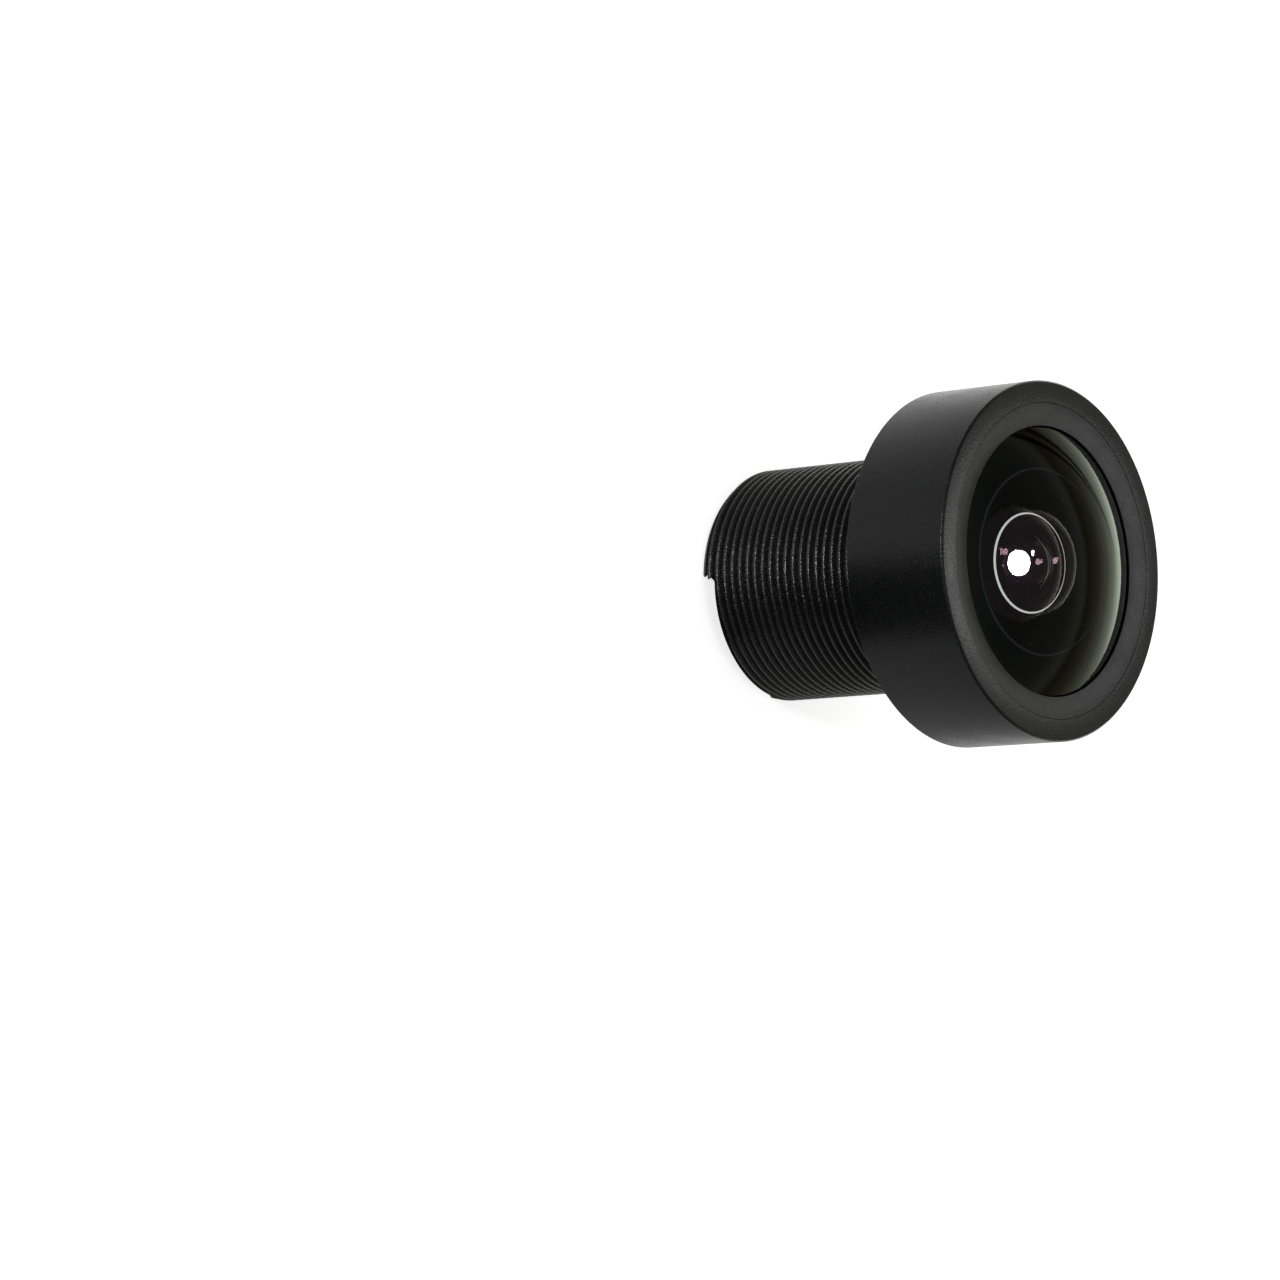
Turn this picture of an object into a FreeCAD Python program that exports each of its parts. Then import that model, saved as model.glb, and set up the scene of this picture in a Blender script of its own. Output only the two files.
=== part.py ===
import FreeCAD, Part
import math
import os

from FreeCAD import Vector

# A board camera lens for an M12 x 0.5 holder: a wide head with a large domed front element on a
# threaded tube. The lens stands on its rear end. Z is the optical axis and points to the front,
# and the origin is the centre of the rear end face. All sizes are in millimetres.
#
# The pieces stack up inside the barrel from two sides. Lens 6, the cemented pair, the stop and
# lens 3 rest on each other and on the rear wall. Lens 1 rests on its seat in the head, and lens 2
# is held behind it. The long spacer between lens 2 and lens 3 fills what is left between them.

# Barrel, outside
thread_diameter = 12.0
thread_depth = 0.31
thread_length = 12.0
relief_width = 0.3
rear_rim_diameter = 11.4
rear_chamfer_length = 0.45
head_diameter = 18.0
head_length = 6.0
head_chamfer = 0.12

# Barrel, inside
rear_wall = 0.7
window_diameter = 6.2
rear_bore_diameter = 8.0
main_bore_diameter = 9.8
ring_bore_diameter = 15.8
bore_clearance = 0.05

# Slot across the rear end, and the filter glued into it
slot_width = 7.8
slot_depth = 0.8
filter_width = 7.0
filter_length = 8.4
filter_thickness = 0.3
filter_chamfer = 0.06
bead_lap = 0.3
bead_height = 0.22
bead_hollow = 0.06

# Front retaining ring and the seal under it
opening_diameter = 13.5
ring_dip = 0.25
ring_lip = 0.1
ring_chamfer = 0.05
skirt_clearance = 0.1
seal_section = 0.65
seal_corner = 0.16

# Lens elements. A rise is how far a surface's middle stands in front of its own edge.
lens_1_diameter = 14.2
lens_1_edge = 1.57
lens_1_front_rise = 1.93
lens_1_rim_lap = 0.2
lens_1_hollow_depth = 2.42
lens_2_edge = 0.49
lens_2_front_rise = 2.17
lens_2_hollow_diameter = 4.82
lens_2_hollow_depth = 1.7
hollow_bevel = 0.08
lens_3_edge = 1.6
lens_3_front_diameter = 8.0
lens_3_front_rise = 0.9
lens_3_rear_diameter = 7.2
lens_3_rear_rise = 0.5
lens_4_edge = 0.5
lens_4_front_diameter = 6.8
lens_4_front_rise = 0.8
cemented_rise = 1.3
lens_5_edge = 2.2
lens_5_hollow_diameter = 6.4
lens_5_hollow_depth = 0.3
lens_6_edge = 1.0
lens_6_front_diameter = 6.4
lens_6_front_rise = 0.6
lens_6_rear_diameter = 5.8
lens_6_rear_rise = 0.5

# Spacers, stop and light shields
spacer_wall = 0.45
spacer_1_2_length = 0.41
spacer_3_stop_length = 0.9
spacer_stop_4_length = 1.1
spacer_5_6_length = 0.7
stop_thickness = 0.15
stop_diameter = 2.4
stop_bevel = 0.1
shield_thickness = 0.1
shield_2_diameter = 5.4
shield_5_diameter = 5.6
baffle_count = 4
baffle_depth = 0.25
baffle_land = 0.4

# Radii that several pieces share
thread_radius = thread_diameter / 2
head_radius = head_diameter / 2
main_bore_radius = main_bore_diameter / 2
rear_bore_radius = rear_bore_diameter / 2
main_piece_radius = main_bore_radius - bore_clearance
rear_piece_radius = rear_bore_radius - bore_clearance
opening_radius = opening_diameter / 2
lens_1_radius = lens_1_diameter / 2
ring_bore_radius = ring_bore_diameter / 2
seal_groove_radius = lens_1_radius + seal_section


def height_above_edge(edge_radius, rise, radius):
    """Height of a spherical cap over its own edge, at a distance from the axis."""
    sphere = (edge_radius ** 2 + rise ** 2) / (2 * rise)
    return math.sqrt(sphere ** 2 - radius ** 2) - math.sqrt(sphere ** 2 - edge_radius ** 2)


# Heights along the axis. First the group that rests on the rear wall, from the rear to the front.
lens_6_z = slot_depth + rear_wall
spacer_5_6_z = lens_6_z + lens_6_edge
shield_5_z = spacer_5_6_z + spacer_5_6_length
lens_5_z = shield_5_z + shield_thickness
lens_4_z = lens_5_z + lens_5_edge
spacer_stop_4_z = lens_4_z + lens_4_edge
stop_z = spacer_stop_4_z + spacer_stop_4_length
spacer_3_stop_z = stop_z + stop_thickness
lens_3_z = spacer_3_stop_z + spacer_3_stop_length
spacer_2_3_z = lens_3_z + lens_3_edge

# Then the group that hangs from the front rim, from the front to the rear.
front_z = thread_length + head_length
opening_z = front_z - ring_dip
lip_z = opening_z - ring_lip
dome_at_opening = height_above_edge(lens_1_radius, lens_1_front_rise, opening_radius)
lens_1_z = lip_z - dome_at_opening - lens_1_edge
seal_top_z = lens_1_z + seal_section
spacer_1_2_z = lens_1_z - spacer_1_2_length
spacer_1_2_radius = main_piece_radius - spacer_wall
dome_at_spacer = height_above_edge(main_piece_radius, lens_2_front_rise, spacer_1_2_radius)
lens_2_z = spacer_1_2_z - dome_at_spacer - lens_2_edge
shield_2_z = lens_2_z - shield_thickness


def turned(edges):
    """Solid of revolution about Z, from the edges of a closed half section in the XZ plane."""
    section = Part.Face(Part.Wire(edges))
    return section.revolve(Vector(0, 0, 0), Vector(0, 0, 1), 360)


def line(start, end):
    """Straight edge between two (radius, z) points of a half section."""
    return Part.makeLine(Vector(start[0], 0, start[1]), Vector(end[0], 0, end[1]))


def turned_polygon(points):
    """Solid of revolution from the corners of a straight-sided half section."""
    closed = points + [points[0]]
    return turned([line(start, end) for start, end in zip(closed, closed[1:])])


def cap_arc(edge_radius, edge_z, rise):
    """Half of a spherical surface's section: an arc from its edge to the axis."""
    sphere = (edge_radius ** 2 + rise ** 2) / (2 * rise)
    centre_z = edge_z + rise - sphere
    half_angle = math.asin(edge_radius / abs(sphere)) / 2
    middle = Vector(abs(sphere) * math.sin(half_angle), 0, centre_z + sphere * math.cos(half_angle))
    return Part.Arc(Vector(edge_radius, 0, edge_z), middle, Vector(0, 0, edge_z + rise)).toShape()


def element(rear_z, edge, radius, rear, front):
    """Lens element. rear and front are (clear radius, rise, bevel) of its two surfaces."""
    rear_radius, rear_rise, rear_bevel = rear
    front_radius, front_rise, front_bevel = front
    front_edge_z = rear_z + edge
    corners = [
        (rear_radius, rear_z + rear_bevel),
        (rear_radius + rear_bevel, rear_z),
        (radius, rear_z),
        (radius, front_edge_z),
        (front_radius + front_bevel, front_edge_z),
        (front_radius, front_edge_z - front_bevel),
    ]
    edges = []
    for start, end in zip(corners, corners[1:]):
        if math.dist(start, end) > 1e-6:
            edges.append(line(start, end))
    edges.append(cap_arc(front_radius, front_edge_z - front_bevel, front_rise))
    rear_apex = rear_z + rear_bevel + rear_rise
    edges.append(line((0, front_edge_z - front_bevel + front_rise), (0, rear_apex)))
    edges.append(cap_arc(rear_radius, rear_z + rear_bevel, rear_rise))
    return turned(edges)


def tube(rear_z, length, radius, rear_bore, front_bore):
    """Spacer tube whose bore may widen from one end to the other."""
    front = rear_z + length
    return turned_polygon([(rear_bore, rear_z), (radius, rear_z), (radius, front), (front_bore, front)])


def barrel():
    """Head, threaded tube and stepped bore, turned from one bar, with the filter slot milled in."""
    relief_radius = thread_radius - thread_depth
    body = turned_polygon([
        (window_diameter / 2, 0),
        (rear_rim_diameter / 2, 0),
        (thread_radius, rear_chamfer_length),
        (thread_radius, thread_length - relief_width),
        (relief_radius, thread_length - relief_width),
        (relief_radius, thread_length),
        (head_radius - head_chamfer, thread_length),
        (head_radius, thread_length + head_chamfer),
        (head_radius, front_z - head_chamfer),
        (head_radius - head_chamfer, front_z),
        (ring_bore_radius, front_z),
        (ring_bore_radius, seal_top_z),
        (seal_groove_radius, seal_top_z),
        (seal_groove_radius, lens_1_z),
        (main_bore_radius, lens_1_z),
        (main_bore_radius, stop_z),
        (rear_bore_radius, stop_z),
        (rear_bore_radius, lens_6_z),
        (window_diameter / 2, lens_6_z),
    ])
    slot = Part.makeBox(
        thread_diameter, slot_width, slot_depth, Vector(-thread_radius, -slot_width / 2, 0)
    )
    return body.cut(slot)


def front_retaining_ring():
    """Ring screwed into the head: its lip holds the dome, its skirt presses on the seal."""
    skirt_radius = lens_1_radius + skirt_clearance
    chamfer_drop = ring_chamfer * ring_dip / (ring_bore_radius - opening_radius)
    return turned_polygon([
        (opening_radius, lip_z),
        (skirt_radius, lip_z),
        (skirt_radius, seal_top_z),
        (ring_bore_radius, seal_top_z),
        (ring_bore_radius, front_z - ring_chamfer - chamfer_drop),
        (ring_bore_radius - ring_chamfer, front_z - chamfer_drop),
        (opening_radius, opening_z),
    ])


def front_seal_ring():
    """Rubber ring squeezed between the front element's edge, its seat, the groove and the skirt."""
    return turned_polygon([
        (lens_1_radius + seal_corner, lens_1_z),
        (seal_groove_radius - seal_corner, lens_1_z),
        (seal_groove_radius, lens_1_z + seal_corner),
        (seal_groove_radius, seal_top_z - seal_corner),
        (seal_groove_radius - seal_corner, seal_top_z),
        (lens_1_radius + seal_corner, seal_top_z),
        (lens_1_radius, seal_top_z - seal_corner),
        (lens_1_radius, lens_1_z + seal_corner),
    ])


def lens_1_front():
    """Large meniscus: domed to its edge in front. Its hollow just clears the spacer's bore."""
    hollow_radius = spacer_1_2_radius - lens_1_rim_lap - hollow_bevel
    rear = (hollow_radius, lens_1_hollow_depth, hollow_bevel)
    front = (lens_1_radius, lens_1_front_rise, 0)
    return element(lens_1_z, lens_1_edge, lens_1_radius, rear, front)


def lens_2():
    """Small meniscus, also domed to its edge. The bevel of its hollow is seen as a bright ring."""
    rear = (lens_2_hollow_diameter / 2, lens_2_hollow_depth, hollow_bevel)
    front = (main_piece_radius, lens_2_front_rise, 0)
    return element(lens_2_z, lens_2_edge, main_piece_radius, rear, front)


def lens_3():
    """Thick biconvex element with flat rims."""
    rear = (lens_3_rear_diameter / 2, -lens_3_rear_rise, 0)
    front = (lens_3_front_diameter / 2, lens_3_front_rise, 0)
    return element(lens_3_z, lens_3_edge, main_piece_radius, rear, front)


def lens_4():
    """Biconvex front half of the cemented pair. Its rear surface reaches its edge."""
    rear = (rear_piece_radius, -cemented_rise, 0)
    front = (lens_4_front_diameter / 2, lens_4_front_rise, 0)
    return element(lens_4_z, lens_4_edge, rear_piece_radius, rear, front)


def lens_5():
    """Rear half of the cemented pair. Its front is hollow and takes lens 4's rear surface."""
    rear = (lens_5_hollow_diameter / 2, lens_5_hollow_depth, 0)
    front = (rear_piece_radius, -cemented_rise, 0)
    return element(lens_5_z, lens_5_edge, rear_piece_radius, rear, front)


def lens_6():
    """Rear biconvex element. Its rear surface reaches into the window of the rear wall."""
    rear = (lens_6_rear_diameter / 2, -lens_6_rear_rise, 0)
    front = (lens_6_front_diameter / 2, lens_6_front_rise, 0)
    return element(lens_6_z, lens_6_edge, rear_piece_radius, rear, front)


def spacer_1_2():
    """Thin ring between lens 1's flat rear rim and the slope of lens 2's dome."""
    bore = spacer_1_2_radius
    return tube(spacer_1_2_z, spacer_1_2_length, main_piece_radius, bore, bore)


def spacer_2_3():
    """Long spacer. Its bore narrows to the front in sharp-edged steps that trap stray light."""
    land_z = shield_2_z - baffle_land
    rear_bore = main_piece_radius - spacer_wall
    front_bore = shield_2_diameter / 2
    step = (land_z - spacer_2_3_z) / baffle_count
    taper = (rear_bore - front_bore) / baffle_count
    points = [(main_piece_radius, shield_2_z), (main_piece_radius, spacer_2_3_z)]
    for index in range(baffle_count):
        bore = rear_bore - taper * index
        z = spacer_2_3_z + step * index
        points.append((bore, z))
        points.append((bore - taper + baffle_depth, z + step))
    points.append((front_bore, land_z))
    points.append((front_bore, shield_2_z))
    return turned_polygon(points)


def spacer_3_stop():
    """Short spacer between lens 3's rear rim and the stop."""
    bore = main_piece_radius - spacer_wall
    return tube(spacer_3_stop_z, spacer_3_stop_length, main_piece_radius, bore, bore)


def spacer_stop_4():
    """Short spacer between the stop and the cemented pair's front rim."""
    bore = rear_piece_radius - spacer_wall
    return tube(spacer_stop_4_z, spacer_stop_4_length, rear_piece_radius, bore, bore)


def spacer_5_6():
    """Short spacer between the cemented pair and lens 6."""
    bore = rear_piece_radius - spacer_wall
    return tube(spacer_5_6_z, spacer_5_6_length, rear_piece_radius, bore, bore)


def aperture_stop():
    """Thin disc on the bore's step, with a bevelled hole whose sharp edge faces the front."""
    hole_radius = stop_diameter / 2
    return tube(stop_z, stop_thickness, main_piece_radius, hole_radius + stop_bevel, hole_radius)


def light_shield_2():
    """Film ring behind lens 2."""
    hole_radius = shield_2_diameter / 2
    return tube(shield_2_z, shield_thickness, main_piece_radius, hole_radius, hole_radius)


def light_shield_5():
    """Film ring behind the cemented pair."""
    hole_radius = shield_5_diameter / 2
    return tube(shield_5_z, shield_thickness, rear_piece_radius, hole_radius, hole_radius)


def ir_cut_filter():
    """Thin coated glass plate that covers the window, flat on the floor of the slot."""
    corner = Vector(-filter_length / 2, -filter_width / 2, slot_depth - filter_thickness)
    plate = Part.makeBox(filter_length, filter_width, filter_thickness, corner)
    uprights = [edge for edge in plate.Edges if edge.BoundBox.ZLength > filter_thickness / 2]
    return plate.makeChamfer(filter_chamfer, uprights)


def adhesive_bead(side):
    """Bead between the filter's long edge and the slot's wall, lapping over the filter's edge."""
    wall_y = slot_width / 2
    edge_y = filter_width / 2
    filter_z = slot_depth - filter_thickness
    lap_y = edge_y - bead_lap
    corners = [
        Vector(0, lap_y, filter_z),
        Vector(0, edge_y, filter_z),
        Vector(0, edge_y, slot_depth),
        Vector(0, wall_y, slot_depth),
        Vector(0, wall_y, filter_z - bead_height),
    ]
    edges = [Part.makeLine(start, end) for start, end in zip(corners, corners[1:])]
    chord = corners[0] - corners[-1]
    sideways = Vector(0, -chord.z, chord.y).normalize()
    if sideways.z < 0:
        sideways = -sideways
    middle = (corners[0] + corners[-1]) / 2 + sideways * bead_hollow
    edges.append(Part.Arc(corners[-1], middle, corners[0]).toShape())
    bead = Part.Face(Part.Wire(edges)).extrude(Vector(filter_length - 2 * filter_chamfer, 0, 0))
    bead.translate(Vector(filter_chamfer - filter_length / 2, 0, 0))
    if side < 0:
        bead.rotate(Vector(0, 0, 0), Vector(0, 0, 1), 180)
    return bead


def main():
    pieces = {
        "barrel": barrel(),
        "front_retaining_ring": front_retaining_ring(),
        "front_seal_ring": front_seal_ring(),
        "lens_1_front": lens_1_front(),
        "spacer_1_2": spacer_1_2(),
        "lens_2": lens_2(),
        "light_shield_2": light_shield_2(),
        "spacer_2_3": spacer_2_3(),
        "lens_3": lens_3(),
        "spacer_3_stop": spacer_3_stop(),
        "aperture_stop": aperture_stop(),
        "spacer_stop_4": spacer_stop_4(),
        "lens_4": lens_4(),
        "lens_5": lens_5(),
        "light_shield_5": light_shield_5(),
        "spacer_5_6": spacer_5_6(),
        "lens_6": lens_6(),
        "ir_cut_filter": ir_cut_filter(),
        "adhesive_bead_1": adhesive_bead(1),
        "adhesive_bead_2": adhesive_bead(-1),
    }
    os.makedirs("parts", exist_ok=True)
    for name, shape in pieces.items():
        shape.exportStep(f"parts/{name}.step")


main()
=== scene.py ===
import math

import bmesh
import bpy
import numpy as np
from mathutils import Matrix, Vector


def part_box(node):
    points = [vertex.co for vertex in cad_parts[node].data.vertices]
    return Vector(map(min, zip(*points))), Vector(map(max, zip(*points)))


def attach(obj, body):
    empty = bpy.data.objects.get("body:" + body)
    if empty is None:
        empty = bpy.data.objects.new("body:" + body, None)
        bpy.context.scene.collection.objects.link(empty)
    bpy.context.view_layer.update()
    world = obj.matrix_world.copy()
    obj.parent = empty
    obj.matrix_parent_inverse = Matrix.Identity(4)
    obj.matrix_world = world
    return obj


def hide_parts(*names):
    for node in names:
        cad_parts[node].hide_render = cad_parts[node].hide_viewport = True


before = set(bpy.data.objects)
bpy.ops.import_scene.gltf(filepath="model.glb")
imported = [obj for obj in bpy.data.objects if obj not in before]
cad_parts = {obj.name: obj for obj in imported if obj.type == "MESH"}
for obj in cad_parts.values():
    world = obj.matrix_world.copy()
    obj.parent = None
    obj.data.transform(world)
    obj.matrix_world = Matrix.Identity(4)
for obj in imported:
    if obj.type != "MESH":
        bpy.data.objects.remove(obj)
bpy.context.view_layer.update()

# A board camera lens, standing on its rear end. Sizes are in millimetres and become metres where a
# mesh is made. The optical axis is Z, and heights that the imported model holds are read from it.

MM = 0.001

# Camera, fitted to the outlines in the photograph. Its own axes are right, down and ahead.
PHOTO_PIXELS = 1280
FOCAL_PIXELS = 5000
SENSOR_WIDTH = 36
CAMERA_TURN = math.radians(48.87)
CAMERA_TILT = math.radians(3.617)
CAMERA_ROLL = math.radians(38)
FRONT_CENTRE = Vector((20.5235, -3.9316, 248.075))

# Barrel
HEAD_RADIUS = 9.0
THREAD_RADIUS = 6.0
THREAD_DEPTH = 0.31
ROOT_RADIUS = THREAD_RADIUS - THREAD_DEPTH
THREAD_PITCH = 0.5
THREAD_START = 1.16
REAR_CHAMFER_LENGTH = 0.45
RELIEF_WIDTH = 0.25
RUNOUT_SLOPE = 1.5
TUBE_LENGTH = 12.0
# The thread's rows end just under the head.
ROWS_TOP = TUBE_LENGTH - 0.04
FRONT_Z = 18.0
HEAD_CHAMFER = 0.1
HEAD_FILLET = 0.04
RIM_FILLET = 0.05
BORE_FILLET = 0.03
MOUTH_FILLET = 0.015
WINDOW_RADIUS = 3.1
REAR_BORE_RADIUS = 4.0
MAIN_BORE_RADIUS = 4.9
SEAL_GROOVE_RADIUS = 7.75
RING_BORE_RADIUS = 7.9
REAR_WALL_TOP = 1.5
SLOT_WIDTH = 7.8
SLOT_DEPTH = 0.8

# Retaining ring
OPENING_RADIUS = 6.75
SKIRT_RADIUS = 7.2
RING_DIP = 0.25
RING_LIP = 0.1
# Groove between the ring and the head, seen as a hairline circle
HAIRLINE = 0.012

# Glass
DOME_RADIUS = 7.1
DOME_RISE = 1.93
MAIN_GLASS_RADIUS = 4.85
REAR_GLASS_RADIUS = 3.95
HOLLOW_BEVEL = 0.08
EDGE_CHAMFER = 0.04
# Keeps an element's flats from lying in one plane with its neighbours'.
SEAT_GAP = 0.003

# Meshes: segments round the axis, steps along a fillet and a glass surface
ROUND = 160
GLASS_ROUND = 256
FILLET_STEPS = 4
CAP_STEPS = 40
SHARP_ANGLE = math.radians(35)
MERGE_METRES = 1e-7
TINY = 1e-6


def height(node, top=False):
    """Lowest or highest point of a CAD node, in millimetres."""
    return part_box(node)[1 if top else 0].z / MM


def new_object(name, data):
    made = bpy.data.objects.new(name, data)
    bpy.context.scene.collection.objects.link(made)
    return made


# Meshes


def finish_mesh(name, mesh, materials):
    """Object from a mesh in metres, smooth but for its sharp edges."""
    for material in materials:
        mesh.materials.append(material)
    tidy = bmesh.new()
    tidy.from_mesh(mesh)
    bmesh.ops.remove_doubles(tidy, verts=tidy.verts, dist=MERGE_METRES)
    bmesh.ops.recalc_face_normals(tidy, faces=tidy.faces)
    tidy.to_mesh(mesh)
    tidy.free()
    mesh.shade_smooth()
    mesh.set_sharp_from_angle(angle=SHARP_ANGLE)
    return new_object(name, mesh)


def rounded(corners):
    """Open outline from (radius, z, fillet) corners, with an arc where there is a fillet."""
    points = []
    for index, (radius, z, fillet) in enumerate(corners):
        here = Vector((radius, z))
        if fillet == 0 or index in (0, len(corners) - 1):
            points.append(here)
            continue
        before = (Vector(corners[index - 1][:2]) - here).normalized()
        after = (Vector(corners[index + 1][:2]) - here).normalized()
        half = math.acos(max(-1, min(1, before.dot(after)))) / 2
        setback = fillet / math.tan(half)
        centre = here + (before + after).normalized() * (fillet / math.sin(half))
        start = here + before * setback - centre
        end = here + after * setback - centre
        turn = math.atan2(start.x * end.y - start.y * end.x, start.dot(end))
        for step in range(FILLET_STEPS + 1):
            points.append(centre + Matrix.Rotation(turn * step / FILLET_STEPS, 2) @ start)
    return points


def cap(edge_radius, edge_z, rise):
    """Points of a spherical surface from its edge to the axis."""
    sphere = (edge_radius ** 2 + rise ** 2) / (2 * rise)
    centre_z = edge_z + rise - sphere
    edge_angle = math.asin(edge_radius / abs(sphere))
    if abs(rise) > edge_radius:
        edge_angle = math.pi - edge_angle
    angles = [edge_angle * (1 - step / CAP_STEPS) for step in range(CAP_STEPS + 1)]
    return [Vector((abs(sphere) * math.sin(a), centre_z + sphere * math.cos(a))) for a in angles]


def lathe(name, runs, materials, closed=False, segments=ROUND):
    """Turns an outline round Z. runs is a list of (points, material index)."""
    outline, bands = [], []
    for points, index in runs:
        if outline:
            bands.append(index)
        outline.extend(points)
        bands.extend([index] * (len(points) - 1))
    if closed:
        bands.append(runs[0][1])
    vertices, rows = [], []
    for radius, z in outline:
        if radius < TINY:
            rows.append([len(vertices)] * segments)
            vertices.append((0, 0, z * MM))
            continue
        rows.append(list(range(len(vertices), len(vertices) + segments)))
        for step in range(segments):
            angle = 2 * math.pi * step / segments
            x, y = radius * math.cos(angle), radius * math.sin(angle)
            vertices.append((x * MM, y * MM, z * MM))
    faces, face_materials = [], []
    pairs = list(zip(rows, rows[1:]))
    if closed:
        pairs.append((rows[-1], rows[0]))
    for (low, high), index in zip(pairs, bands):
        for step in range(segments):
            after = (step + 1) % segments
            ring = [low[step], low[after], high[after], high[step]]
            ring = [v for place, v in enumerate(ring) if v not in ring[:place]]
            if len(ring) > 2:
                faces.append(ring)
                face_materials.append(index)
    mesh = bpy.data.meshes.new(name)
    mesh.from_pydata(vertices, [], faces)
    mesh.polygons.foreach_set("material_index", face_materials)
    return finish_mesh(name, mesh, materials)


def cut(piece, low, high):
    """Takes a box out of a piece, both corners in millimetres."""
    mesh = bpy.data.meshes.new("cutter")
    shape = bmesh.new()
    bmesh.ops.create_cube(shape, size=1)
    for vertex in shape.verts:
        corner = [(a + b) / 2 + (b - a) * c for a, b, c in zip(low, high, vertex.co)]
        vertex.co = Vector(corner) * MM
    shape.to_mesh(mesh)
    shape.free()
    cutter = new_object("cutter", mesh)
    modifier = piece.modifiers.new("cut", "BOOLEAN")
    modifier.operation = "DIFFERENCE"
    modifier.solver = "EXACT"
    modifier.object = cutter
    bpy.context.view_layer.update()
    cut_piece = piece.evaluated_get(bpy.context.evaluated_depsgraph_get())
    piece.data = bpy.data.meshes.new_from_object(cut_piece)
    piece.modifiers.clear()
    bpy.data.objects.remove(cutter)


# Materials


def node(tree, kind, inputs=None, **settings):
    """Adds a shader node. An input's value is a number, a colour, or another node's output."""
    made = tree.nodes.new(kind)
    for name, value in settings.items():
        setattr(made, name, value)
    for name, value in (inputs or {}).items():
        if isinstance(value, bpy.types.NodeSocket):
            tree.links.new(value, made.inputs[name])
        else:
            made.inputs[name].default_value = value
    return made


def new_material(name, **values):
    """Material with one Principled shader. Returns the material, its tree and the shader."""
    material = bpy.data.materials.new(name)
    material.use_nodes = True
    tree = material.node_tree
    tree.nodes.clear()
    shader = node(tree, "ShaderNodeBsdfPrincipled")
    output = node(tree, "ShaderNodeOutputMaterial")
    tree.links.new(shader.outputs["BSDF"], output.inputs["Surface"])
    for socket, value in values.items():
        shader.inputs[socket.replace("_", " ")].default_value = value
    return material, tree, shader


def millimetres(tree):
    """The point's own place on the object, in millimetres."""
    place = node(tree, "ShaderNodeTexCoord").outputs["Object"]
    scaled = node(tree, "ShaderNodeVectorMath", {0: place, "Scale": 1 / MM}, operation="SCALE")
    return scaled.outputs[0]


def turned_coordinates(tree, place, across, along):
    """Coordinates in which noise makes the fine rings that a lathe leaves."""
    parts = node(tree, "ShaderNodeSeparateXYZ", {0: place})
    flat = node(tree, "ShaderNodeCombineXYZ", {0: parts.outputs[0], 1: parts.outputs[1]})
    radius = node(tree, "ShaderNodeVectorMath", {0: flat.outputs[0]}, operation="LENGTH")
    angle = math_node(tree, "ARCTAN2", parts.outputs[1], parts.outputs[0])
    scaled = [
        math_node(tree, "MULTIPLY", value, scale)
        for value, scale in (
            (radius.outputs["Value"], across),
            (parts.outputs[2], across),
            (angle, along),
        )
    ]
    return node(tree, "ShaderNodeCombineXYZ", dict(enumerate(scaled))).outputs[0]


def noise(tree, place, scale, detail=2.0, roughness=0.5):
    inputs = {"Vector": place, "Scale": scale, "Detail": detail, "Roughness": roughness}
    return node(tree, "ShaderNodeTexNoise", inputs).outputs["Fac"]


def remap(tree, value, low, high, to_low=0.0, to_high=1.0):
    inputs = {
        "Value": value, "From Min": low, "From Max": high, "To Min": to_low, "To Max": to_high,
    }
    return node(tree, "ShaderNodeMapRange", inputs).outputs["Result"]


def spread(tree, value, to_low=0.0, to_high=1.0):
    """Stretches the range in which nearly all of a noise lies, between two values."""
    return remap(tree, value, 0.3, 0.7, to_low, to_high)


def mixed(tree, share, first, second):
    """Colour between two others."""
    made = node(tree, "ShaderNodeMix", data_type="RGBA")
    for name, value in (("Factor", share), ("A", first), ("B", second)):
        socket = next(s for s in made.inputs if s.name == name and s.enabled)
        if isinstance(value, bpy.types.NodeSocket):
            tree.links.new(value, socket)
        else:
            socket.default_value = value
    return next(s for s in made.outputs if s.enabled)


def math_node(tree, operation, first, second):
    return node(tree, "ShaderNodeMath", {0: first, 1: second}, operation=operation).outputs[0]


def bump(tree, height, depth, normal=None):
    """Normal of a surface that the height raises by up to depth, in millimetres."""
    inputs = {"Height": height, "Distance": depth * MM, "Strength": 1.0}
    if normal is not None:
        inputs["Normal"] = normal
    return node(tree, "ShaderNodeBump", inputs).outputs[0]


def grey(level, warm=0.0):
    return (level * (1 + warm), level, level * (1 - warm), 1)


# Black anodised metal: its colours, and the scales of its noise per millimetre
METAL_WARMTH = -0.04
SPECK_LEVEL = 0.08
SAND_SCALE = 8.0
CLOUD_SCALE = 0.7
SPECK_SCALE = 19.0
TURNING_ACROSS = 14.0
TURNING_ALONG = 1.2


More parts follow.
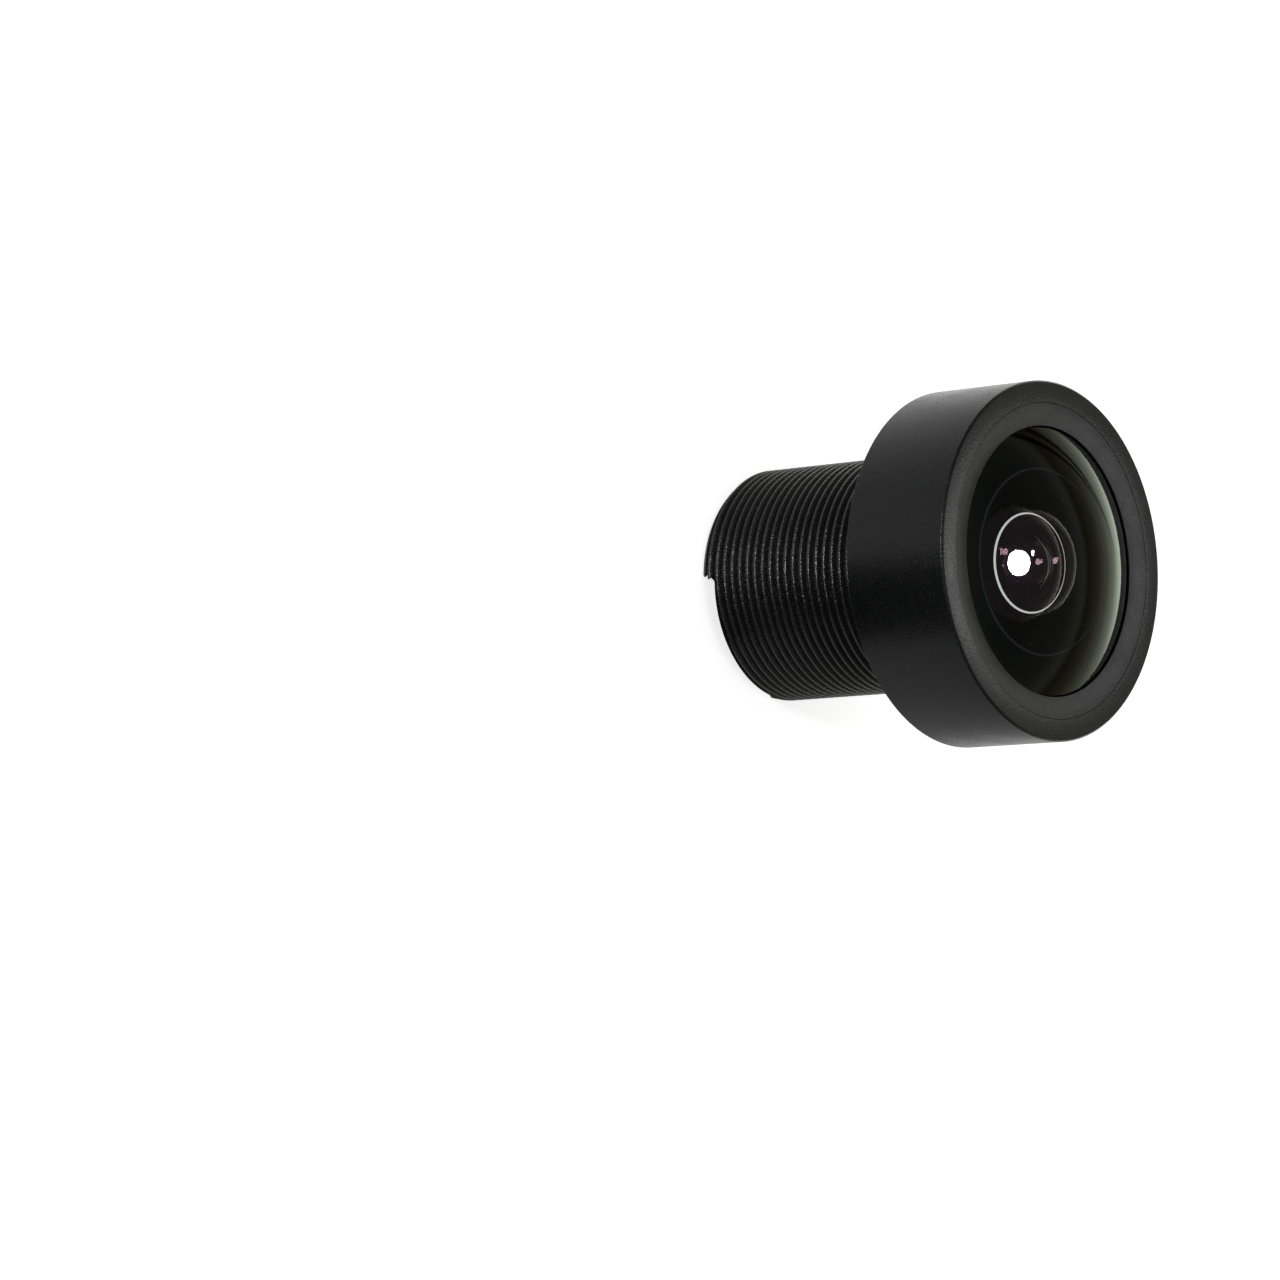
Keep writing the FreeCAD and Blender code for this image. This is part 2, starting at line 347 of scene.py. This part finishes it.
def anodised(name, level, roughness, grain, turning=0.0012, ior=1.5):
    """Black anodised aluminium: sandy grain over faint turning marks, with tiny pale specks.
    grain and turning are the depths of the two, in millimetres."""
    material, tree, shader = new_material(name, IOR=ior)
    place = millimetres(tree)
    sand = noise(tree, place, SAND_SCALE, 3.0, 0.6)
    turned = turned_coordinates(tree, place, TURNING_ACROSS, TURNING_ALONG)
    rings = noise(tree, turned, 1.0, 3.0, 0.6)
    cloud = noise(tree, place, CLOUD_SCALE)
    tone = math_node(tree, "ADD", math_node(tree, "MULTIPLY", sand, 0.6),
                     math_node(tree, "MULTIPLY", rings, 0.4))
    dark, light = grey(level * 0.7, METAL_WARMTH), grey(level * 1.3, METAL_WARMTH)
    colour = mixed(tree, spread(tree, tone), dark, light)
    specks = noise(tree, place, SPECK_SCALE, 0.0)
    colour = mixed(tree, remap(tree, specks, 0.78, 0.84, 0.0, 0.8), colour, grey(SPECK_LEVEL))
    tree.links.new(colour, shader.inputs["Base Color"])
    rough = math_node(tree, "ADD", spread(tree, sand, -0.05, 0.05),
                      spread(tree, cloud, roughness - 0.03, roughness + 0.03))
    tree.links.new(rough, shader.inputs["Roughness"])
    fine = bump(tree, sand, grain)
    tree.links.new(bump(tree, rings, turning, fine), shader.inputs["Normal"])
    return material


def dull(name, level, roughness, scale=6.0, depth=0.002, gloss=0.5):
    """Plain dark surface with a fine uneven finish."""
    material, tree, shader = new_material(name, IOR=1.5, Specular_IOR_Level=gloss)
    place = millimetres(tree)
    uneven = noise(tree, place, scale, 3.0, 0.6)
    colour = mixed(tree, spread(tree, uneven), grey(level * 0.7), grey(level * 1.3))
    tree.links.new(colour, shader.inputs["Base Color"])
    rough = spread(tree, uneven, roughness - 0.06, roughness + 0.06)
    tree.links.new(rough, shader.inputs["Roughness"])
    tree.links.new(bump(tree, uneven, depth), shader.inputs["Normal"])
    return material


def coated_glass(name, ior, tint, strength):
    """Polished glass. The coating keeps reflections weak and tinted, apart from grazing ones."""
    material, tree, shader = new_material(
        name, Base_Color=(1, 1, 1, 1), Transmission_Weight=1.0, IOR=ior,
        Specular_IOR_Level=strength, Specular_Tint=tint,
    )
    specks = noise(tree, millimetres(tree), 9.0, 2.0, 0.7)
    tree.links.new(remap(tree, specks, 0.74, 0.8, 0.0, 0.02), shader.inputs["Roughness"])
    return material


def ground_glass_painted_glow(name, level, glow, warm=0.0):
    """Bevel that is ground and not polished. Its glow is painted light, in place of the light that
    the glass leads to it.
    """
    material, tree, shader = new_material(
        name, IOR=1.5, Specular_IOR_Level=0.0, Emission_Strength=glow,
    )
    uneven = noise(tree, millimetres(tree), 7.0, 3.0, 0.7)
    colour = mixed(tree, spread(tree, uneven), grey(level * 0.75, warm), grey(level, warm))
    tree.links.new(colour, shader.inputs["Base Color"])
    # The colour also glows: painted light, in place of the light that the glass leads to the bevel.
    tree.links.new(colour, shader.inputs["Emission Color"])
    tree.links.new(spread(tree, uneven, 0.5, 0.7), shader.inputs["Roughness"])
    return material


body_metal = anodised("black_anodised_body", 0.005, 0.29, grain=0.013)
thread_metal = anodised("black_anodised_thread", 0.005, 0.27, grain=0.04, ior=1.65)
ring_metal = anodised("black_anodised_ring", 0.006, 0.38, grain=0.018, turning=0.0008)
spacer_metal = dull("dull_black_spacer", 0.008, 0.5, gloss=0.0)
rubber = dull("black_seal_rubber", 0.014, 0.55, scale=3.0, gloss=0.0)
film = dull("matt_black_film", 0.008, 0.7, gloss=0.0)
ink = dull("black_edge_ink", 0.002, 0.6, scale=5.0, gloss=0.0)
glue = dull("black_adhesive", 0.012, 0.22, scale=1.6, depth=0.02)
front_glass = coated_glass("front_glass_green_coating", 1.6, (0.88, 1.0, 0.84, 1), 0.08)
hollow_glass = coated_glass("hollow_glass_pink_coating", 1.6, (0.6, 0.33, 0.42, 1), 0.5)
second_glass = coated_glass("second_glass_pink_coating", 1.7, (0.55, 0.32, 0.45, 1), 0.04)
inner_glass = coated_glass("inner_glass_purple_coating", 1.7, (0.45, 0.22, 0.5, 1), 0.025)
filter_glass = coated_glass("filter_glass_pink_coating", 1.52, (1.0, 0.55, 0.5, 1), 1.0)
# Both bevels glow with painted light: emission in place of the light that the glass leads to them.
painted_bright_bevel = ground_glass_painted_glow("ground_bevel_painted_bright", 0.8, 0.8)
painted_dim_bevel = ground_glass_painted_glow("ground_bevel_painted_dim", 0.09, 0.11, warm=-0.25)


# Pieces


def thread_rows(turns):
    """Rows of one thread ridge after another: (place along the axis in turns, radius)."""
    crest = [(0.0, 0.0), (0.08, 0.004), (0.13, 0.014), (0.175, 0.035), (0.215, 0.068)]
    flank = [(0.3, THREAD_DEPTH / 2)]
    root = [(0.41, THREAD_DEPTH - 0.025), (0.455, THREAD_DEPTH)]
    half = crest + flank + root
    ridge = half + [(1 - place, depth) for place, depth in reversed(half[1:])]
    return [
        (turn + place, THREAD_RADIUS - depth)
        for turn in range(-1, turns)
        for place, depth in ridge
    ]


def all_round(values):
    """Rows of a grid that has the same value all round the axis."""
    return np.repeat(np.array(values)[:, None], ROUND, axis=1)


def thread_grid():
    """Height and radius of each thread row at each step round the axis, and the rows in a turn."""
    # The helix has spare turns at both ends, which are pressed flat.
    turns = int(TUBE_LENGTH / THREAD_PITCH) + 3
    rows = thread_rows(turns)
    lead = (np.arange(ROUND) / ROUND)[None, :]
    place = np.array([row[0] for row in rows])[:, None] + lead - THREAD_START
    z = np.clip(place * THREAD_PITCH, 0, ROWS_TOP)
    radius = all_round([row[1] for row in rows])
    chamfer_slope = (THREAD_RADIUS - ROOT_RADIUS) / REAR_CHAMFER_LENGTH
    radius = np.minimum(radius, ROOT_RADIUS + z * chamfer_slope)
    runout = np.maximum(0, TUBE_LENGTH - RELIEF_WIDTH - z) * RUNOUT_SLOPE
    radius = np.minimum(radius, ROOT_RADIUS + runout)
    return z, radius, len(rows) // (turns + 1)


def barrel_outline():
    """Points of the barrel from above the thread, over the head and down the bore to the rear."""
    seal_top = height("front_seal_ring", True)
    seat_z = height("lens_1_front")
    step_z = height("aperture_stop")
    return rounded([
        (ROOT_RADIUS, ROWS_TOP, 0),
        (ROOT_RADIUS, TUBE_LENGTH, BORE_FILLET),
        (HEAD_RADIUS - HEAD_CHAMFER, TUBE_LENGTH, HEAD_FILLET),
        (HEAD_RADIUS, TUBE_LENGTH + HEAD_CHAMFER, HEAD_FILLET),
        (HEAD_RADIUS, FRONT_Z - HEAD_CHAMFER, RIM_FILLET),
        (HEAD_RADIUS - HEAD_CHAMFER, FRONT_Z, RIM_FILLET),
        (RING_BORE_RADIUS, FRONT_Z, MOUTH_FILLET),
        (RING_BORE_RADIUS, seal_top, 0),
        (SEAL_GROOVE_RADIUS, seal_top, BORE_FILLET),
        (SEAL_GROOVE_RADIUS, seat_z, 0),
        (MAIN_BORE_RADIUS, seat_z, BORE_FILLET),
        (MAIN_BORE_RADIUS, step_z, 0),
        (REAR_BORE_RADIUS, step_z, BORE_FILLET),
        (REAR_BORE_RADIUS, REAR_WALL_TOP, 0),
        (WINDOW_RADIUS, REAR_WALL_TOP, RIM_FILLET),
        (WINDOW_RADIUS, 0, 0),
    ])[1:]


def barrel_faces(total, threads, per_turn):
    """Faces between each row and the next, the last and the first too. The first rows are the
    thread's, and each goes on, after one turn, in the row that lies one turn further up."""
    faces = []
    for row in range(total):
        above = (row + 1) % total
        for step in range(ROUND):
            if step < ROUND - 1:
                low, high = row * ROUND + step + 1, above * ROUND + step + 1
            else:
                low, high = row * ROUND, above * ROUND
                if row < threads:
                    low = min(row + per_turn, threads - 1) * ROUND
                if row + 1 < threads:
                    high = min(row + 1 + per_turn, threads - 1) * ROUND
            faces.append((row * ROUND + step, low, high, above * ROUND + step))
    return faces


def threaded_barrel():
    """Head and tube in one piece, with the true right-hand helix of the thread on the tube."""
    thread_z, thread_radius, per_turn = thread_grid()
    body = barrel_outline()
    z = np.vstack([thread_z, all_round([point.y for point in body])])
    radius = np.vstack([thread_radius, all_round([point.x for point in body])])
    angles = 2 * math.pi * np.arange(ROUND) / ROUND
    grid = np.stack([radius * np.cos(angles), radius * np.sin(angles), z], axis=2)
    faces = barrel_faces(len(z), len(thread_z), per_turn)
    mesh = bpy.data.meshes.new("threaded_barrel")
    mesh.from_pydata((grid.reshape(-1, 3) * MM).tolist(), [], faces)
    outside = ((z < TUBE_LENGTH) & (radius > REAR_BORE_RADIUS)).reshape(-1)
    mesh.polygons.foreach_set("material_index", [int(outside[face[0]]) for face in faces])
    piece = finish_mesh("threaded_barrel", mesh, [body_metal, thread_metal])
    reach = THREAD_RADIUS + 1
    cut(piece, (-reach, -SLOT_WIDTH / 2, -1), (reach, SLOT_WIDTH / 2, SLOT_DEPTH))
    piece.data.set_sharp_from_angle(angle=SHARP_ANGLE)
    return piece


def retaining_ring():
    """Ring in the head's mouth. Its face dips towards the glass and ends in a thin lip."""
    opening_z = FRONT_Z - RING_DIP
    seal_top = height("front_seal_ring", True)
    corners = [
        (SKIRT_RADIUS, seal_top, 0),
        (RING_BORE_RADIUS, seal_top, 0),
        (RING_BORE_RADIUS - HAIRLINE, height("front_retaining_ring", True), MOUTH_FILLET),
        (OPENING_RADIUS, opening_z, 0.03),
        (OPENING_RADIUS, opening_z - RING_LIP, 0),
        (SKIRT_RADIUS, opening_z - RING_LIP, 0.05),
        (SKIRT_RADIUS, seal_top + 0.001, 0),
    ]
    outline = rounded(corners)
    # The opening's wall and the underside are dull, like the spacers.
    wall = next(index for index, point in enumerate(outline) if point.x < OPENING_RADIUS + TINY)
    runs = [(outline[:wall + 1], 0), (outline[wall + 1:], 1)]
    return lathe("retaining_ring_piece", runs, [ring_metal, spacer_metal], closed=True)


GLASS, INK, BEVEL, REAR = 0, 1, 2, 3


def element(name, rear_z, edge, radius, rear, front, glass, rear_glass, bevel_material):
    """Lens element with black ink on its flats and edge. rear is (clear radius, rise, bevel), and
    front is (clear radius, rise)."""
    rear_radius, rear_rise, rear_bevel = rear
    front_radius, front_rise = front
    front_z = rear_z + edge
    runs = [(list(reversed(cap(rear_radius, rear_z + rear_bevel, rear_rise))), REAR)]
    if rear_bevel:
        runs.append(([Vector((rear_radius + rear_bevel, rear_z))], BEVEL))
    runs.append(([
        Vector((radius - EDGE_CHAMFER, rear_z)),
        Vector((radius, rear_z + EDGE_CHAMFER)),
        Vector((radius, front_z - (0 if front_radius == radius else EDGE_CHAMFER))),
    ], INK))
    if front_radius < radius:
        runs.append(([Vector((radius - EDGE_CHAMFER, front_z))], INK))
        runs.append(([Vector((front_radius, front_z))], INK))
    runs.append((cap(front_radius, front_z, front_rise)[1:], GLASS))
    return lathe(name, runs, [glass, ink, bevel_material, rear_glass], segments=GLASS_ROUND)


def add(piece, cad):
    """Hands a piece over in place of a CAD node."""
    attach(piece, "root")
    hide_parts(cad)


def glass_stack():
    """The six elements, each in place of its CAD solid."""
    dome, main, rear = DOME_RADIUS, MAIN_GLASS_RADIUS, REAR_GLASS_RADIUS
    # Piece and CAD node, height of the rear flat over the node's lowest point, edge thickness,
    # radius, rear surface, front surface.
    stack = [
        ("front_element", "lens_1_front", 0, 1.57, dome,
         (4.12, 2.42, HOLLOW_BEVEL), (dome, DOME_RISE)),
        ("second_element", "lens_2", 0, 0.49, main, (2.41, 1.7, HOLLOW_BEVEL), (main, 2.17)),
        ("third_element", "lens_3", 0.5, 1.6, main, (3.6, -0.5, 0), (4.0, 0.9)),
        ("fourth_element", "lens_4", 1.3, 0.5, rear, (rear, -1.3, 0), (3.4, 0.8)),
        ("fifth_element", "lens_5", 0, 2.19, rear, (3.2, 0.3, 0), (rear, -1.3)),
        ("sixth_element", "lens_6", 0.5, 1.0, rear, (2.9, -0.5, 0), (3.2, 0.6)),
    ]
    # The first two elements' bevels glow with painted light.
    looks = {
        "lens_1_front": (front_glass, hollow_glass, painted_dim_bevel, "front_glass"),
        "lens_2": (second_glass, second_glass, painted_bright_bevel, "inner_glass"),
    }
    usual = (inner_glass, inner_glass, ink, "inner_glass")
    pieces = []
    for name, cad, flat, edge, radius, back, front in stack:
        glass, rear_glass, bevel, slot = looks.get(cad, usual)
        rear_z = height(cad) + flat + SEAT_GAP
        piece = element(name, rear_z, edge, radius, back, front, glass, rear_glass, bevel)
        add(piece, cad)
        pieces.append(piece)
    return pieces


metal_pieces = [threaded_barrel(), retaining_ring()]
add(metal_pieces[0], "barrel")
add(metal_pieces[1], "front_retaining_ring")
glass_pieces = glass_stack()

CARRIED_OVER = {
    "front_seal_ring": rubber,
    "spacer_1_2": spacer_metal,
    "light_shield_2": film,
    "spacer_2_3": spacer_metal,
    "spacer_3_stop": spacer_metal,
    "aperture_stop": spacer_metal,
    "spacer_stop_4": spacer_metal,
    "light_shield_5": film,
    "spacer_5_6": spacer_metal,
    "ir_cut_filter": filter_glass,
    "adhesive_bead_1": glue,
    "adhesive_bead_2": glue,
}
for name, material in CARRIED_OVER.items():
    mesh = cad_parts[name].data
    mesh.materials.clear()
    mesh.materials.append(material)


# Camera, lamps and floor


def camera_axes():
    """The camera's right, down and ahead directions and its place, all in the row frame."""
    axis = Vector((
        math.sin(CAMERA_TURN) * math.cos(CAMERA_TILT),
        -math.sin(CAMERA_TILT),
        -math.cos(CAMERA_TURN) * math.cos(CAMERA_TILT),
    ))
    level = Vector((math.cos(CAMERA_TURN), 0, math.sin(CAMERA_TURN)))
    row_x = Matrix.Rotation(CAMERA_ROLL, 3, axis) @ level
    row_y = axis.cross(row_x)
    origin = FRONT_CENTRE - FRONT_Z * axis
    directions = [Vector((row_x[i], row_y[i], axis[i])) for i in range(3)]
    place = -Vector((origin.dot(row_x), origin.dot(row_y), origin.dot(axis)))
    return *directions, place


camera_right, camera_down, camera_ahead, camera_place = camera_axes()

# Level directions in the room: away from the camera, and the one that points up in the picture.
away = Vector((camera_ahead.x, camera_ahead.y, 0)).normalized()
raised = away.cross(Vector((0, 0, 1)))
if raised.dot(camera_down) > 0:
    raised = -raised


def add_camera():
    data = bpy.data.cameras.new("photo_camera")
    data.sensor_width = SENSOR_WIDTH
    data.lens = SENSOR_WIDTH * FOCAL_PIXELS / PHOTO_PIXELS
    data.clip_start = 0.01
    data.clip_end = 20
    camera = new_object("photo_camera", data)
    turn = Matrix((camera_right, -camera_down, -camera_ahead)).transposed()
    camera.matrix_world = Matrix.Translation(camera_place * MM) @ turn.to_4x4()
    bpy.context.scene.camera = camera


def mirrored_in_dome(pixel):
    """Point on the front dome at a pixel of the photograph, and the direction mirrored there."""
    sphere = (DOME_RADIUS ** 2 + DOME_RISE ** 2) / (2 * DOME_RISE)
    centre = Vector((0, 0, height("lens_1_front", True) - sphere))
    offset = [(value - PHOTO_PIXELS / 2) / FOCAL_PIXELS for value in pixel]
    sight = (camera_right * offset[0] + camera_down * offset[1] + camera_ahead).normalized()
    to_centre = camera_place - centre
    nearest = -sight.dot(to_centre)
    along = nearest - math.sqrt(nearest ** 2 - to_centre.length_squared + sphere ** 2)
    point = camera_place + sight * along
    normal = (point - centre).normalized()
    return point, sight - 2 * sight.dot(normal) * normal


def lamp(name, place, target, size, radiance, shape="RECTANGLE"):
    """Area lamp of (width, height) in millimetres, as bright as a white surface times radiance."""
    data = bpy.data.lights.new(name, "AREA")
    data.shape = shape
    data.size, data.size_y = size[0] * MM, size[1] * MM
    area = size[0] * size[1] * MM * MM * (math.pi / 4 if shape == "ELLIPSE" else 1)
    data.energy = radiance * math.pi * area
    light = new_object(name, data)
    turn = (target - place).to_track_quat("-Z", "Y").to_matrix().to_4x4()
    light.matrix_world = Matrix.Translation(place * MM) @ turn
    light.visible_camera = False
    return light


# Where the photograph's dome mirrors its two lamps
LAMP_PIXEL = (1019, 563)
SPOT_PIXEL = (1033, 553)
MIRRORED_DISTANCE = 200
SIDE_DISTANCE = 190
SIDE_HEIGHT = 50
RIM_RADIUS = 8.5


def only_for(name, pieces):
    """Collection of the pieces that a lamp lights."""
    collection = bpy.data.collections.new(name)
    for piece in pieces:
        collection.objects.link(piece)
    return collection


def add_lamps():
    """Two lamps that only the glass mirrors, soft boxes and a small lamp for the metal face, and a
    lamp at the side."""
    glass_only = only_for("glass_only", glass_pieces)
    metal_only = only_for("metal_only", metal_pieces)
    for name, pixel, size, radiance in (
        ("round_lamp", LAMP_PIXEL, (31, 41), 210),
        ("small_lamp", SPOT_PIXEL, (7, 5), 200),
    ):
        point, direction = mirrored_in_dome(pixel)
        place = point + direction * MIRRORED_DISTANCE
        light = lamp(name, place, point, size, radiance, "ELLIPSE")
        light.light_linking.receiver_collection = glass_only
    face = Vector((0, 0, FRONT_Z))
    for name, target, degrees, distance, size, radiance in (
        ("far_soft_box", face, 27, 120, (120, 140), 0.2),
        ("top_soft_box", face, 90, 150, (200, 200), 0.4),
        ("rim_lamp", face - away * RIM_RADIUS, 36, 35, (8, 8), 3.1),
    ):
        angle = math.radians(degrees)
        place = target + (away * math.cos(angle) + Vector((0, 0, math.sin(angle)))) * distance
        light = lamp(name, place, target, size, radiance)
        light.light_linking.receiver_collection = metal_only
    side = (-away + 0.33 * raised).normalized()
    place = side * SIDE_DISTANCE + Vector((0, 0, SIDE_HEIGHT))
    lamp("side_lamp", place, Vector((0, 0, 8)), (28, 56), 38)


# Brightness round the object, as (degrees, level). The floor's runs round the axis from the
# camera's side, upward in the picture first. The backdrop's goes by the angle above the horizon,
# and two dark lines of its frame slant up from the point that lies straight behind the object.
FLOOR_LEVELS = [
    (-180, 3.0), (-150, 1.0), (-110, 0.38), (-59, 0.38), (-38, 0.35), (-31, 0.0), (6, 0.0),
    (9, 0.42), (49, 0.34), (68, 0.46), (103, 0.74), (124, 1.0), (150, 1.4), (180, 3.0),
]
BACKDROP_LEVELS = [
    (-25, 2.0), (-12, 1.9), (-6, 1.75), (3, 0.75), (11, 0.34), (19, 0.13), (27, 0.06),
    (31, 0.18), (38, 0.1), (60, 0.07), (90, 0.1),
]
FRAME_LEVELS = [
    (-180, 1), (32.5, 1), (34, 0.1), (36, 0.1), (37, 1), (38.5, 1), (39.3, 0.1), (40.7, 0.1),
    (42, 0.8), (180, 1),
]
# The backdrop's colour low down, and higher up, where it is dim
BACKDROP_TINT = (0.92, 1.0, 0.82, 1)
DIM_TINT = (1.1, 1.0, 0.72, 1)
# Level on the camera's side
ROOM_LEVEL = 0.12


def share_between(tree, value, low, high):
    """0 to 1 as a value in radians goes from low to high, both in degrees."""
    return remap(tree, value, math.radians(low), math.radians(high))


def ramp(tree, value, stops):
    """Level that runs through the stops, for a value in radians."""
    low, high = math.radians(stops[0][0]), math.radians(stops[-1][0])
    made = node(tree, "ShaderNodeValToRGB", {"Fac": remap(tree, value, low, high)})
    elements = made.color_ramp.elements
    for degrees, level in stops[1:-1]:
        elements.new((math.radians(degrees) - low) / (high - low))
    for element, (degrees, level) in zip(elements, stops):
        element.color = grey(level)
    return made.outputs["Color"]


def vector_node(tree, operation, first, second, output):
    made = node(tree, "ShaderNodeVectorMath", {0: first, 1: second}, operation=operation)
    return made.outputs[output]


def product(tree, first, second):
    return vector_node(tree, "MULTIPLY", first, second, "Vector")


def room_level(tree, direction):
    """Brightness of the surroundings that the object mirrors, by direction from its head."""
    parts = [
        vector_node(tree, "DOT_PRODUCT", direction, unit, "Value")
        for unit in (-away, raised, Vector((0, 0, 1)))
    ]
    round_axis = math_node(tree, "ARCTAN2", parts[1], parts[0])
    above = math_node(tree, "ARCSINE", parts[2], 0.0)
    far_side = share_between(tree, math_node(tree, "ABSOLUTE", round_axis, 0.0), 90, 130)
    tint = mixed(tree, share_between(tree, above, 9, 19), BACKDROP_TINT, DIM_TINT)
    tint = mixed(tree, share_between(tree, above, 27, 34), tint, grey(1.0))
    backdrop = product(tree, ramp(tree, above, BACKDROP_LEVELS), tint)
    frames = ramp(tree, math_node(tree, "ARCTAN2", parts[2], parts[1]), FRAME_LEVELS)
    upper = mixed(tree, far_side, grey(ROOM_LEVEL), product(tree, backdrop, frames))
    share = share_between(tree, above, -22, -10)
    return mixed(tree, share, ramp(tree, round_axis, FLOOR_LEVELS), upper)


def white_room():
    """World: white to the camera, and darker for the object on the camera's side of the room."""
    world = bpy.data.worlds.new("white_room")
    bpy.context.scene.world = world
    world.use_nodes = True
    tree = world.node_tree
    tree.nodes.clear()
    level = room_level(tree, node(tree, "ShaderNodeTexCoord").outputs["Generated"])
    path = node(tree, "ShaderNodeLightPath")
    colour = mixed(tree, path.outputs["Is Camera Ray"], level, grey(1.0))
    background = node(tree, "ShaderNodeBackground", {"Color": colour})
    output = node(tree, "ShaderNodeOutputWorld")
    tree.links.new(background.outputs[0], output.inputs["Surface"])


FLOOR_REACH = 4000
HEAD_MIDDLE = 15
FLOOR_GREY = 0.8
FLOOR_GLOW = 0.7
FLOOR_LIGHT = 1.4
SHADOW_SOFTNESS = math.radians(70)


def add_floor():
    """Pale floor that is white to the camera but for the shadow. What the object mirrors of it is
    darker on the camera's side. A light of its own casts the object's shadow on it."""
    mesh = bpy.data.meshes.new("floor")
    reach = FLOOR_REACH * MM
    corners = [(-reach, -reach, 0), (reach, -reach, 0), (reach, reach, 0), (-reach, reach, 0)]
    mesh.from_pydata(corners, [], [(0, 1, 2, 3)])
    floor = new_object("floor", mesh)
    material = bpy.data.materials.new("pale_floor")
    material.use_nodes = True
    tree = material.node_tree
    tree.nodes.clear()
    head = Vector((0, 0, HEAD_MIDDLE))
    offset = vector_node(tree, "SUBTRACT", millimetres(tree), head, "Vector")
    direction = node(tree, "ShaderNodeVectorMath", {0: offset}, operation="NORMALIZE")
    level = room_level(tree, direction.outputs[0])
    path = node(tree, "ShaderNodeLightPath")
    diffuse = node(tree, "ShaderNodeBsdfDiffuse", {"Color": grey(FLOOR_GREY)})
    glow = node(tree, "ShaderNodeEmission", {"Color": grey(1.0), "Strength": FLOOR_GLOW})
    lit = node(tree, "ShaderNodeAddShader", {0: diffuse.outputs[0], 1: glow.outputs[0]})
    seen = node(tree, "ShaderNodeEmission", {"Color": level, "Strength": 1.0})
    shaders = {0: path.outputs["Is Camera Ray"], 1: seen.outputs[0], 2: lit.outputs[0]}
    either = node(tree, "ShaderNodeMixShader", shaders)
    output = node(tree, "ShaderNodeOutputMaterial")
    tree.links.new(either.outputs[0], output.inputs["Surface"])
    mesh.materials.append(material)
    data = bpy.data.lights.new("floor_light", "SUN")
    data.energy = FLOOR_LIGHT
    data.angle = SHADOW_SOFTNESS
    light = new_object("floor_light", data)
    light.light_linking.receiver_collection = only_for("floor_only", [floor])


add_camera()
add_lamps()
white_room()
add_floor()
bpy.context.scene.view_settings.view_transform = "Standard"
bpy.context.scene.cycles.caustics_refractive = False
